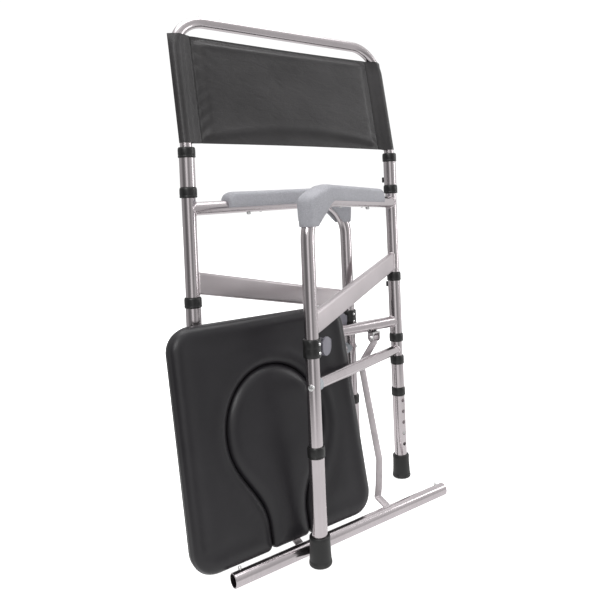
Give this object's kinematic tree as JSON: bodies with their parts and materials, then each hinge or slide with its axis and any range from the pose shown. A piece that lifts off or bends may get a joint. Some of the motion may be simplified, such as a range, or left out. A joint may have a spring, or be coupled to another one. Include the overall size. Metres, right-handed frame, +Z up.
{
  "type": "folding commode chair",
  "caption": "Folding commode chair in its folded state: rear frame with back tube, two swinging side frames, loose seat and a front bar.",
  "frame": {"origin": "on the floor, under the middle of the whole object's box", "axes": "+Z up, X across the rear posts, -Y the way the sitter faces"},
  "size_m": [0.588, 0.2438, 1.0189],
  "materials": {
    "aluminium": "satin anodised tube",
    "black_plastic": "moulded, satin",
    "rubber": "matt rubber",
    "grey_foam": "textured grey armrest skin",
    "grey_plastic": "smooth grey moulding",
    "black_vinyl": "soft black seat skin",
    "board_plastic": "moulded board",
    "black_cloth": "black coated cloth",
    "steel": "plated steel"
  },
  "bodies": {
    "rear_frame": {"back_tube": "aluminium", "backrest_cloth": "black_cloth", "front_bar": "aluminium", "lower_sleeve_left": "aluminium", "lower_sleeve_right": "aluminium", "pivot_bolt_left": "steel", "pivot_bolt_right": "steel", "pivot_bracket_left": "steel", "pivot_bracket_right": "steel", "post_collar_1_left": "black_plastic", "post_collar_1_right": "black_plastic", "post_collar_2_left": "black_plastic", "post_collar_2_right": "black_plastic", "post_collar_3_left": "black_plastic", "post_collar_3_right": "black_plastic", "post_collar_4_left": "black_plastic", "post_collar_4_right": "black_plastic", "post_collar_5_left": "black_plastic", "post_collar_5_right": "black_plastic", "post_collar_6_left": "black_plastic", "post_collar_6_right": "black_plastic", "rear_crossbar": "aluminium", "rear_foot_left": "rubber", "rear_foot_right": "rubber", "rear_leg_left": "aluminium", "rear_leg_right": "aluminium", "sleeve_plug_1_left": "black_plastic", "sleeve_plug_1_right": "black_plastic", "sleeve_plug_2_left": "black_plastic", "sleeve_plug_2_right": "black_plastic", "strut_left": "steel", "strut_right": "steel", "upper_sleeve_left": "aluminium", "upper_sleeve_right": "aluminium"},
    "left_frame": {"arm_tube_left": "aluminium", "wide_rail_left": "aluminium", "lower_side_tube_left": "aluminium", "arm_pad_left": "grey_foam", "leg_clamp_left": "black_plastic", "bar_socket_left": "grey_plastic", "front_collar_left": "black_plastic", "front_leg_left": "aluminium", "front_foot_left": "rubber"},
    "right_frame": {"arm_tube_right": "aluminium", "wide_rail_right": "aluminium", "lower_side_tube_right": "aluminium", "arm_pad_right": "grey_foam", "leg_clamp_right": "black_plastic", "bar_socket_right": "grey_plastic", "front_collar_right": "black_plastic", "front_leg_right": "aluminium", "front_foot_right": "rubber"},
    "seat": {"seat_board": "board_plastic", "seat_cushion": "black_vinyl", "seat_plug": "black_vinyl"},
    "rear_leg_button_left": {"rear_leg_button_left": "steel"},
    "rear_leg_button_right": {"rear_leg_button_right": "steel"},
    "front_leg_button_left": {"front_leg_button_left": "steel"},
    "front_leg_button_right": {"front_leg_button_right": "steel"}
  },
  "joints": [
    {"name": "right_frame_swing", "type": "hinge", "parent": "rear_frame", "child": "right_frame", "pos_m": [0.273, 0.0676, 0.5], "axis": [0, 0, 1], "range_deg": [0, 64.9]},
    {"name": "left_frame_swing", "type": "hinge", "parent": "rear_frame", "child": "left_frame", "pos_m": [-0.227, 0.0676, 0.5], "axis": [0, 0, 1], "range_deg": [0, 170]},
    {"name": "seat_slide", "type": "slide", "parent": "rear_frame", "child": "seat", "axis": [-1, 0, 0], "range_m": [0, 0.35]},
    {"name": "rear_button_press_left", "type": "slide", "parent": "rear_frame", "child": "rear_leg_button_left", "axis": [0, 1, 0], "range_m": [0, 0.002], "stiffness_N_per_m": 400},
    {"name": "rear_button_press_right", "type": "slide", "parent": "rear_frame", "child": "rear_leg_button_right", "axis": [0, 1, 0], "range_m": [0, 0.002], "stiffness_N_per_m": 400},
    {"name": "front_button_press_left", "type": "slide", "parent": "left_frame", "child": "front_leg_button_left", "axis": [0.9972, 0.075, 0], "range_m": [0, 0.002], "stiffness_N_per_m": 400},
    {"name": "front_button_press_right", "type": "slide", "parent": "right_frame", "child": "front_leg_button_right", "axis": [-0.9056, -0.4242, 0], "range_m": [0, 0.002], "stiffness_N_per_m": 400}
  ]
}
